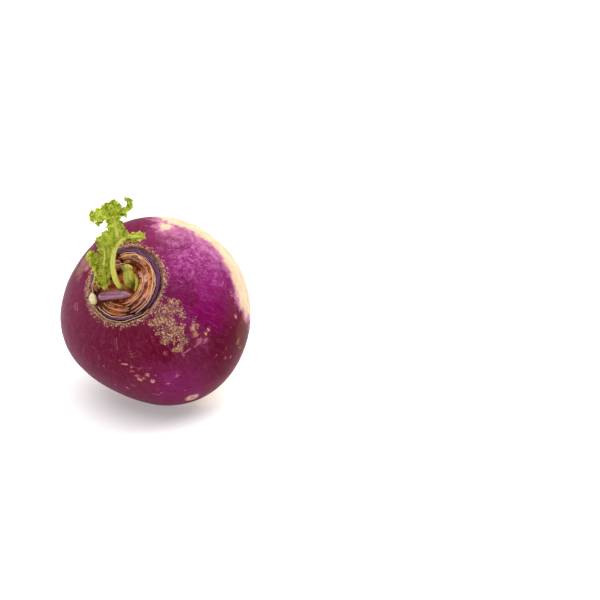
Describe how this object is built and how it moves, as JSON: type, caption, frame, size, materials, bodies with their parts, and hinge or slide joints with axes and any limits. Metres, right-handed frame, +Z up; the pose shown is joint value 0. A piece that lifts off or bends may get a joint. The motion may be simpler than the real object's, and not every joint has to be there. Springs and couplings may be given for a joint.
{
  "type": "turnip",
  "caption": "Round purple-top turnip lying on its side on a small flat spot, with a sunken crown of cut leaf bases, two small ruffled leaves and a tap root.",
  "frame": {"origin": "the middle of the small flat spot that the turnip rests on", "axes": "+Z is up, square to the flat spot; +X is to the right and -Y is towards the viewer of the turnip's crown, which leans to -Y and a little to -X"},
  "size_m": [0.0761, 0.0786, 0.0976],
  "materials": {
    "skin": "satin",
    "scar": "matte",
    "leaf_base": "matte",
    "bud": "satin",
    "stalk": "satin",
    "side_bud": "satin",
    "leaf": "satin"
  },
  "bodies": {
    "root": {"root": "skin", "leaf_scar_outer": "scar", "leaf_scar_lower": "scar", "leaf_scar_left": "scar", "leaf_base_right_outer": "leaf_base", "leaf_base_right_middle": "leaf_base", "leaf_base_right_inner": "leaf_base", "leaf_base_lower_outer": "leaf_base", "leaf_base_lower_inner": "leaf_base", "leaf_base_upper": "leaf_base", "leaf_base_left": "leaf_base", "leaf_base_left_inner": "leaf_base", "leaf_base_middle": "leaf_base", "bud_scale": "bud", "crown_bud": "bud", "cut_stalk": "stalk", "side_bud": "side_bud", "tall_leaf": "leaf", "low_leaf": "leaf"}
  },
  "joints": []
}
